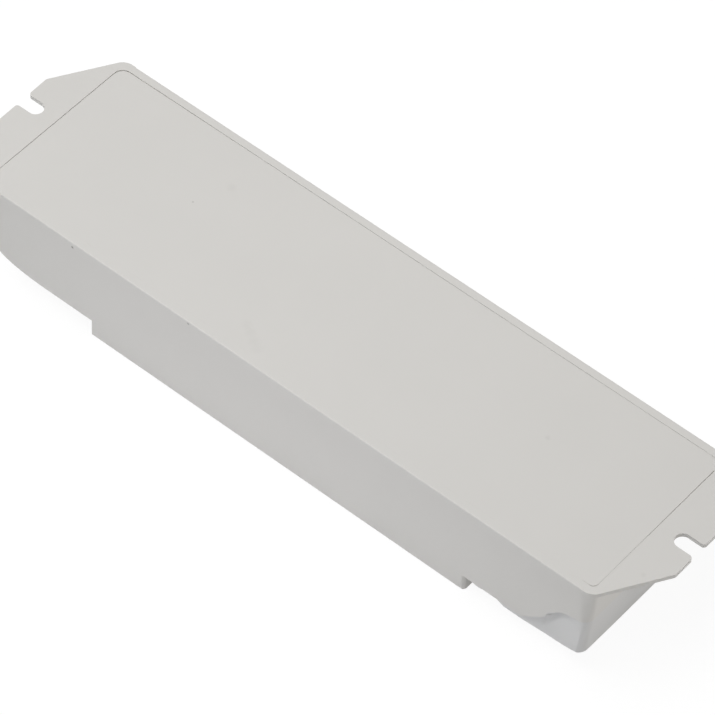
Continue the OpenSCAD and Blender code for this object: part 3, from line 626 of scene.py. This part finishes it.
# Cover lip: the part of the same moulding that carries the skirt's face on behind the
# housing's edge, so the seam is closed. Its foot and its head are given from the seam's
# line, and its face from the long side, in mm.
cover_abs = moulded_abs("moulded_cover_abs", "#D5D4D3", "#D1D1D0")
LIP_FOOT, LIP_HEAD, LIP_THICKNESS = (0.1, -0.13), (-0.35, 0.45), 0.4
LIP_BEHIND, LIP_LEAST_DEPTH = 0.03, 0.1
lip_x = np.linspace(64.0, 72.8, 60)
lip_z = np.interp(lip_x, SEAM[:, 0], SEAM[:, 1])
lip_depth = np.maximum(HOLLOW_START * skirt_hollow(lip_x), LIP_LEAST_DEPTH)
lip_face = -LONG_SIDE + LIP_BEHIND + lip_depth
foot_x, foot_height = lip_x + LIP_FOOT[0], lip_z + LIP_FOOT[1]
head_x, head_height = lip_x + LIP_HEAD[0], lip_z + LIP_HEAD[1]
lip_rows = np.stack(
    [
        np.column_stack([foot_x, lip_face, foot_height]),
        np.column_stack([head_x, lip_face, head_height]),
        np.column_stack([head_x, lip_face + LIP_THICKNESS, head_height]),
        np.column_stack([foot_x, lip_face + LIP_THICKNESS, foot_height]),
    ]
)
for end, side in (("output", 1), ("input", -1)):
    cover = merged(end + "_cover", end + "_cover_moulding")
    break_edges(lean_ends(sink_skirt(cover, side)), COVER_EDGE, share=cover_edge_share)
    stand_in(cover, end + "_cover", cover_abs)
    lip = lip_rows * (side, side, 1)
    strip(end + "_cover_lip", lip, cover_abs, closed=False)

# Screws: cold-headed steel with a bright zinc plating. Two close the terminal covers from
# the front, four hold the circuit board on the housing's pillars.
def plated_metal(name, pale, deep, patch, low, high):
    """Plated metal: the plating drifts between two shades and two roughnesses in patches
    of that many mm, over a ripple a few micrometres deep. The ripple is drawn 0.35 mm
    long, coarser than the real one, so that it shows."""
    material, tree, shader = new_material(name, {"Metallic": 1.0})
    place = add_node(tree, "TexCoord").outputs["Object"]
    patches = add_node(
        tree,
        "TexNoise",
        {"Scale": 1 / (patch * MM), "Detail": 4, "Roughness": 0.6},
        {"Vector": place},
    ).outputs["Fac"]
    tone = add_node(
        tree,
        "Mix",
        {"data_type": "RGBA", 6: linear(pale), 7: linear(deep)},
        {0: patches},
    )
    gloss = add_node(
        tree, "MapRange", {"To Min": low, "To Max": high}, {"Value": patches}
    )
    ripple = add_node(
        tree, "TexNoise", {"Scale": 1 / (0.35 * MM), "Detail": 2}, {"Vector": place}
    )
    bump = add_node(
        tree,
        "Bump",
        {"Strength": 0.4, "Distance": 0.006 * MM},
        {"Height": ripple.outputs["Fac"]},
    )
    tree.links.new(tone.outputs[2], shader.inputs["Base Color"])
    tree.links.new(gloss.outputs["Result"], shader.inputs["Roughness"])
    tree.links.new(bump.outputs["Normal"], shader.inputs["Normal"])
    return material


def dress(node, finishes, rule=None, edge=0.04, body="controller"):
    """Shows a merged copy of the node with its edges broken by that many mm. The rule
    gives each face the number of its finish from the faces' middles in mm."""
    piece = break_edges(merged(node, node + "_piece"), edge * MM)
    for finish in finishes[:-1]:
        piece.data.materials.append(finish)
    stand_in(piece, node, finishes[-1], body)
    if rule is not None:
        middle = np.empty(len(piece.data.polygons) * 3, np.float32)
        piece.data.polygons.foreach_get("center", middle)
        number = rule(middle.reshape(-1, 3) / MM).astype(np.int32)
        piece.data.polygons.foreach_set("material_index", number)


# Bright zinc gives a cool silver with cloudy patches, where the passivation is thicker.
zinc_plated_steel = plated_metal("zinc_plated_steel", "#D3D5D8", "#B4B8BD", 1.6, 0.24, 0.42)
for node in ("cover_screws", "board_screws"):
    dress(node, [zinc_plated_steel])


# Circuit board and radio carrier: glass and epoxy laminate with etched copper tracks under
# a green solder mask, cut out by a router that leaves the sandy laminate bare at the rim.
PATTERN_UNIT, TRACK_WIDTH = 4, 0.18


def masked_laminate(name, cover, over_copper, width, height):
    """Solder mask: the joints of a wall of bricks, that many mm wide and high, are the
    tracks, which stand 35 micrometres proud and show paler through the mask. A face that
    stands upright shows the laminate."""
    material, tree, shader = new_material(name, {"IOR": 1.54, "Coat Weight": 0.3})
    place = add_node(tree, "TexCoord").outputs["Object"]
    tracks = add_node(
        tree,
        "TexBrick",
        {
            "Scale": 1 / (PATTERN_UNIT * MM),
            "Brick Width": width / PATTERN_UNIT,
            "Row Height": height / PATTERN_UNIT,
            "Mortar Size": TRACK_WIDTH / PATTERN_UNIT,
            "Mortar Smooth": 0.1,
        },
        {"Vector": place},
    ).outputs["Fac"]
    mask = add_node(
        tree,
        "Mix",
        {"data_type": "RGBA", 6: linear(cover), 7: linear(over_copper)},
        {0: tracks},
    )
    weave = add_node(
        tree, "TexNoise", {"Scale": 1 / (0.5 * MM), "Detail": 3}, {"Vector": place}
    )
    laminate = add_node(
        tree,
        "Mix",
        {"data_type": "RGBA", 6: linear("#B5A56B"), 7: linear("#93834F")},
        {0: weave.outputs["Fac"]},
    )
    facing = add_node(
        tree,
        "SeparateXYZ",
        {},
        {"Vector": add_node(tree, "NewGeometry").outputs["Normal"]},
    )
    level = add_node(
        tree, "Math", {"operation": "ABSOLUTE"}, {0: facing.outputs["Z"]}
    )
    flat = add_node(
        tree, "Math", {"operation": "GREATER_THAN", 1: 0.7}, {0: level.outputs[0]}
    )
    tone = add_node(
        tree,
        "Mix",
        {"data_type": "RGBA"},
        {0: flat.outputs[0], 6: laminate.outputs[2], 7: mask.outputs[2]},
    )
    gloss = add_node(
        tree, "MapRange", {"To Min": 0.75, "To Max": 0.28}, {"Value": flat.outputs[0]}
    )
    bump = add_node(
        tree, "Bump", {"Strength": 0.6, "Distance": 0.035 * MM}, {"Height": tracks}
    )
    tree.links.new(tone.outputs[2], shader.inputs["Base Color"])
    tree.links.new(gloss.outputs["Result"], shader.inputs["Roughness"])
    tree.links.new(bump.outputs["Normal"], shader.inputs["Normal"])
    return material


# The mask is a glossy film: deep green on bare laminate, brighter where copper lies under.
board_mask = masked_laminate("solder_masked_board", "#0F4A2C", "#1B6B40", 9.0, 2.4)
radio_mask = masked_laminate("solder_masked_radio_board", "#0D4328", "#1D6E42", 3.2, 1.2)
dress("circuit_board", [board_mask])
dress("radio_module", [radio_mask])


# Terminal blocks: green glass-filled nylon housings, moulded, with folded and tinned brass
# clamp cages and zinc-plated screws inside. Their pins are soldered through the board.
def moulded_resin(name, pale, deep, ior, low, high, grain, depth):
    """Moulded resin, glaze or pressed powder: two shades and two roughnesses in soft
    patches eight grains wide, over grains of that many mm that stand that high. Where
    the real grain is finer, it is drawn that coarse so that it shows."""
    material, tree, shader = new_material(name, {"IOR": ior})
    place = add_node(tree, "TexCoord").outputs["Object"]
    patches = add_node(
        tree,
        "TexNoise",
        {"Scale": 1 / (8 * grain * MM), "Detail": 4, "Roughness": 0.65},
        {"Vector": place},
    ).outputs["Fac"]
    tone = add_node(
        tree,
        "Mix",
        {"data_type": "RGBA", 6: linear(pale), 7: linear(deep)},
        {0: patches},
    )
    gloss = add_node(
        tree, "MapRange", {"To Min": low, "To Max": high}, {"Value": patches}
    )
    grains = add_node(
        tree, "TexNoise", {"Scale": 1 / (grain * MM), "Detail": 2}, {"Vector": place}
    )
    bump = add_node(
        tree,
        "Bump",
        {"Strength": 0.5, "Distance": depth * MM},
        {"Height": grains.outputs["Fac"]},
    )
    tree.links.new(tone.outputs[2], shader.inputs["Base Color"])
    tree.links.new(gloss.outputs["Result"], shader.inputs["Roughness"])
    tree.links.new(bump.outputs["Normal"], shader.inputs["Normal"])
    return material


# Glass-filled nylon looks slightly cloudy and satin. Tinned brass is a warm, soft silver.
green_nylon = moulded_resin(
    "moulded_green_nylon", "#2B8753", "#22744A", 1.53, 0.4, 0.58, 0.25, 0.01
)
tinned_brass = plated_metal("tinned_brass", "#D2CFC6", "#B9B5AB", 1.2, 0.28, 0.45)
dress("input_terminal", [green_nylon], edge=0.1)
dress("output_terminal", [green_nylon], edge=0.1)
dress("terminal_cages", [tinned_brass], edge=0.06)
dress("terminal_screws", [zinc_plated_steel], edge=0.08)


# Chips and power transistors: black epoxy moulded round a tinned copper lead frame, whose
# legs and heat tabs are soldered to the board. Faces near the ends belong to the metal.
def ends_of(node, axis, reach, pitch=None):
    """Numbers a face 1 where its middle lies within the reach in mm of either end of the
    node along the axis, or of either end of each part of a row at that pitch."""
    low, high = (np.array(corner)[axis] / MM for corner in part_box(node))
    centre, half = (low + high) / 2, (high - low) / 2

    def rule(middle):
        away, limit = middle[:, axis] - centre, half
        if pitch is not None:
            away, limit = away - pitch * np.round(away / pitch), half % pitch
        return np.abs(away) > limit - reach

    return rule


# Moulded epoxy is a near-black with a fine matt grain. Tinned copper is a bright silver.
black_epoxy = moulded_resin(
    "moulded_black_epoxy", "#1E1E20", "#161617", 1.55, 0.5, 0.68, 0.09, 0.008
)
tinned_copper = plated_metal("tinned_copper", "#D6D4CD", "#BFBCB4", 0.8, 0.22, 0.38)
LEG_REACH = 0.96
for node, axis in (("regulator", 1), ("microcontroller", 1), ("driver_chip", 0)):
    dress(node, [black_epoxy, tinned_copper], ends_of(node, axis, LEG_REACH))
TRANSISTOR_BODY = (28.38, 34.65)
dress(
    "mosfets",
    [black_epoxy, tinned_copper],
    lambda middle: (middle[:, 0] < TRANSISTOR_BODY[0]) | (middle[:, 0] > TRANSISTOR_BODY[1]),
)

# Two-ended parts: a moulded diode, a ceramic fuse and the thick-film resistors, each with
# tinned caps at its ends. A resistor's body is white alumina under a black glaze.
CAP_REACH, GLAZE_HEIGHT = 0.31, 0.1
CHANNEL_PITCH = 7.0
# Fired ceramic is a smooth ivory, and the resistors' glaze a glossy black.
ivory_ceramic = moulded_resin(
    "fired_ivory_ceramic", "#E9E2CD", "#DDD5BE", 1.6, 0.3, 0.42, 0.2, 0.004
)
black_glaze = moulded_resin(
    "fired_black_glaze", "#141415", "#1C1C1E", 1.52, 0.12, 0.25, 0.15, 0.004
)
for node, filling in (("protection_diode", black_epoxy), ("input_fuse", ivory_ceramic)):
    dress(node, [filling, tinned_copper], ends_of(node, 0, CAP_REACH))
for node in ("shunt_resistors", "gate_resistors"):
    caps = ends_of(node, 1, CAP_REACH, CHANNEL_PITCH)
    glazed_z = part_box(node)[0][2] / MM + GLAZE_HEIGHT
    dress(
        node,
        [black_glaze, tinned_copper, ivory_ceramic],
        lambda middle: np.where(caps(middle), 1, np.where(middle[:, 2] < glazed_z, 0, 2)),
        edge=0.03,
    )

# Electrolytic capacitors: a drawn aluminium can with a scored vent, in a dark shrink-film
# sleeve with a pale stripe down the negative side. They stand on the board on a rubber bung.
BARE_CAN_END, STRIPE_SHARE = 0.52, 0.06
# Drawn aluminium is a bright, even silver, with soft patches of gloss.
drawn_aluminium = plated_metal("drawn_aluminium", "#DADCDE", "#C6C9CC", 2.5, 0.2, 0.32)
# Shrink film is smooth and glossy, with a faint orange-peel where it drew tight.
dark_shrink_film = moulded_resin(
    "dark_shrink_film", "#20283A", "#1A2130", 1.57, 0.18, 0.3, 0.6, 0.01
)
pale_shrink_film = moulded_resin(
    "pale_shrink_film", "#B7BCC4", "#A9AFB8", 1.57, 0.18, 0.3, 0.6, 0.01
)
for node in ("input_capacitors", "regulator_capacitor"):
    low, high = (np.array(corner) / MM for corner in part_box(node))
    can_end = low[2] + BARE_CAN_END
    stripe_x = low[0] + STRIPE_SHARE * (high[0] - low[0])
    dress(
        node,
        [drawn_aluminium, dark_shrink_film, pale_shrink_film],
        lambda middle: np.where(
            middle[:, 2] < can_end, 0, np.where(middle[:, 0] < stripe_x, 2, 1)
        ),
    )

# Inductor, crystal and radio shield: a pressed ferrite drum, a crystal in a drawn can with
# a nickel plating, and a folded lid of tinned steel soldered over the radio chip.
# Pressed ferrite is a dull charcoal with a gritty face, nickel a warm, glossy silver, and
# tinned steel a cooler and softer one.
pressed_ferrite = moulded_resin(
    "pressed_ferrite", "#3B3B3D", "#2B2B2D", 1.9, 0.62, 0.8, 0.3, 0.03
)
nickel_plated_can = plated_metal("nickel_plated_can", "#CFC9BC", "#BBB5A8", 1.8, 0.18, 0.3)
tinned_steel_lid = plated_metal("tinned_steel_lid", "#CFD1CF", "#B7BAB8", 2.2, 0.26, 0.42)
dress("inductor", [pressed_ferrite], edge=0.25)
dress("crystal", [nickel_plated_can], edge=0.3)
dress("radio_shield", [tinned_steel_lid], edge=0.12)

# Pairing switch and button: a tactile switch with a black nylon base, a tinned steel lid
# and an acetal plunger. A long white ABS button in the housing's front wall presses it.
LID_HEIGHT = 0.2
# Nylon is a satin black, and acetal a smooth brown with a soft, waxy gloss.
black_nylon = moulded_resin(
    "moulded_black_nylon", "#1B1B1C", "#232324", 1.53, 0.45, 0.6, 0.2, 0.01
)
brown_acetal = moulded_resin(
    "moulded_brown_acetal", "#6B4528", "#5C3A20", 1.48, 0.3, 0.42, 0.3, 0.006
)
switch_lid_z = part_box("pairing_switch")[0][2] / MM + LID_HEIGHT
dress(
    "pairing_switch",
    [black_nylon, tinned_steel_lid],
    lambda middle: middle[:, 2] < switch_lid_z,
    edge=0.1,
)
dress("switch_plunger", [brown_acetal], edge=0.15, body="button")
button_abs = moulded_abs("moulded_button_abs", "#DFDEDA", "#DAD9D5", grain=0.2)
dress("pairing_button", [button_abs], edge=0.1, body="button")

# Status light: a white light-emitting diode in a pale resin cup, and a clear moulded
# acrylic rod that carries its light to the front face.
LENS_HEIGHT = 0.39
# The cup is a satin white, and the lens over the phosphor a glossy pale yellow.
cup_resin = moulded_resin(
    "moulded_white_resin", "#EFEDE6", "#E6E3DA", 1.55, 0.35, 0.5, 0.2, 0.006
)
phosphor_lens = moulded_resin(
    "cast_phosphor_lens", "#E8DC9A", "#DDCF86", 1.5, 0.1, 0.2, 0.3, 0.004
)
lens_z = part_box("status_led")[0][2] / MM + LENS_HEIGHT
dress(
    "status_led",
    [cup_resin, phosphor_lens],
    lambda middle: middle[:, 2] < lens_z,
    edge=0.03,
)


def clear_acrylic(name, tint):
    """Clear acrylic: light passes through it, and its moulded skin is polished, with a
    faint drift of gloss where it left the mould."""
    material, tree, shader = new_material(name, {"IOR": 1.49, "Transmission Weight": 1.0})
    place = add_node(tree, "TexCoord").outputs["Object"]
    flow = add_node(
        tree, "TexNoise", {"Scale": 1 / (1.5 * MM), "Detail": 2}, {"Vector": place}
    ).outputs["Fac"]
    tone = add_node(
        tree,
        "Mix",
        {"data_type": "RGBA", 6: linear("#F6FAFA"), 7: linear(tint)},
        {0: flow},
    )
    gloss = add_node(tree, "MapRange", {"To Min": 0.03, "To Max": 0.12}, {"Value": flow})
    tree.links.new(tone.outputs[2], shader.inputs["Base Color"])
    tree.links.new(gloss.outputs["Result"], shader.inputs["Roughness"])
    return material


dress("light_pipe", [clear_acrylic("moulded_clear_acrylic", "#E4EEEE")], edge=0.05)


# Floor and studio: a plain pale floor and a white surround. The camera, reflections and
# clear plastic see both as white, and the floor still takes the part's soft shadow.
def white_rays(tree):
    """One where a ray comes from the camera, a reflection or clear plastic, else zero."""
    path = add_node(tree, "LightPath")
    total = add_node(
        tree,
        "Math",
        {"operation": "ADD"},
        {0: path.outputs["Is Camera Ray"], 1: path.outputs["Is Glossy Ray"]},
    )
    return add_node(
        tree,
        "Math",
        {"operation": "ADD", "use_clamp": True},
        {0: total.outputs[0], 1: path.outputs["Is Transmission Ray"]},
    ).outputs[0]


# How much of the shade on the floor the camera sees, the level of the white seen near the
# part, the distances in metres where it changes to plain white, and the floor's disc.
FLOOR_SHADOW, NEAR_WHITE, NEAR_REACH, FAR_REACH = 0.1, 1.04, 0.25, 1.1
FLOOR_RADIUS, FLOOR_POINTS, FLOOR_DROP = 3, 96, -0.02 * MM
# Matt paper scatters the light evenly, with no gloss.
floor_paper = bpy.data.materials.new("matt_white_paper")
floor_paper.use_nodes = True
tree = floor_paper.node_tree
tree.nodes.clear()
paper = add_node(tree, "BsdfDiffuse", {"Color": (0.86, 0.86, 0.86, 1)})
floor_reach = add_node(
    tree,
    "VectorMath",
    {"operation": "LENGTH"},
    {0: add_node(tree, "TexCoord").outputs["Object"]},
)
glow_level = add_node(
    tree,
    "MapRange",
    {
        "From Min": NEAR_REACH,
        "From Max": FAR_REACH,
        "To Min": NEAR_WHITE,
        "To Max": 1 / (1 - FLOOR_SHADOW),
    },
    {"Value": floor_reach.outputs["Value"]},
)
glow = add_node(
    tree,
    "Emission",
    {"Color": (1, 1, 1, 1)},
    {"Strength": glow_level.outputs["Result"]},
)
seen_white = add_node(
    tree,
    "Math",
    {"operation": "MULTIPLY", 1: 1 - FLOOR_SHADOW},
    {0: white_rays(tree)},
)
floor_mix = add_node(
    tree,
    "MixShader",
    {},
    {0: seen_white.outputs[0], 1: paper.outputs[0], 2: glow.outputs[0]},
)
add_node(tree, "OutputMaterial", {}, {"Surface": floor_mix.outputs[0]})

floor_mesh = bpy.data.meshes.new("floor")
turn = np.linspace(0, 2 * math.pi, FLOOR_POINTS, endpoint=False)
floor_z = np.full(FLOOR_POINTS, FLOOR_DROP)
floor_rim = [FLOOR_RADIUS * np.cos(turn), FLOOR_RADIUS * np.sin(turn), floor_z]
floor_mesh.from_pydata(np.stack(floor_rim, axis=1), [], [range(FLOOR_POINTS)])
floor_mesh.materials.append(floor_paper)
floor = bpy.data.objects.new("floor", floor_mesh)
bpy.context.scene.collection.objects.link(floor)

WORLD_LEVEL = 0.035
world = bpy.data.worlds.new("white_tent")
bpy.context.scene.world = world
world.use_nodes = True
tree = world.node_tree
tree.nodes.clear()
tent = add_node(tree, "Background", {"Color": (1, 1, 1, 1), "Strength": WORLD_LEVEL})
white = add_node(tree, "Background", {"Color": (1, 1, 1, 1), "Strength": 1})
tent_mix = add_node(
    tree,
    "MixShader",
    {},
    {0: white_rays(tree), 1: tent.outputs[0], 2: white.outputs[0]},
)
add_node(tree, "OutputWorld", {}, {"Surface": tent_mix.outputs[0]})
LAMP_AIM = Vector((0, 0, 0.012))


def softbox(name, place, size, power, tint, spread=180):
    """A square lamp of that size in metres, aimed at the middle of the part, whose beam
    is that many degrees wide. A narrow beam dims softly towards the part's ends."""
    lamp = bpy.data.lights.new(name, "AREA")
    lamp.shape = "SQUARE"
    lamp.size = size
    lamp.energy = power
    lamp.color = tint
    lamp.spread = math.radians(spread)
    holder = bpy.data.objects.new(name, lamp)
    bpy.context.scene.collection.objects.link(holder)
    aim = LAMP_AIM - Vector(place)
    holder.matrix_world = (
        Matrix.Translation(place) @ aim.to_track_quat("-Z", "Y").to_matrix().to_4x4()
    )
    holder.visible_camera = False


# A large lamp overhead lights the mounting side. Two narrow beams light the long side,
# two lamps the output end, and one each the far side and the input end.
softbox("top_light", (-0.45, -0.1, 1.25), 1.1, 15.1, (1, 1, 1))
softbox("long_side_light", (-0.33, -0.9, 0.3), 0.3, 0.0615, (0.955, 1.0, 1.045), spread=16)
softbox("near_middle_light", (-0.01, -0.5, 0.14), 0.12, 0.0065, (1.02, 0.96, 1.03), spread=25)
softbox("output_end_light", (1.2, 0.6, 0.35), 0.7, 4.1, (1.03, 1, 0.965))
softbox("output_low_light", (1.0, 0.0, 0.06), 0.4, 0.75, (1.03, 1, 0.95))
softbox("far_side_light", (0.1, 1.3, 0.45), 0.7, 1.5, (1, 1, 1))
softbox("input_end_light", (-1.2, 0.3, 0.35), 0.7, 1.4, (1, 1, 1))

bpy.context.scene.view_settings.view_transform = "Standard"
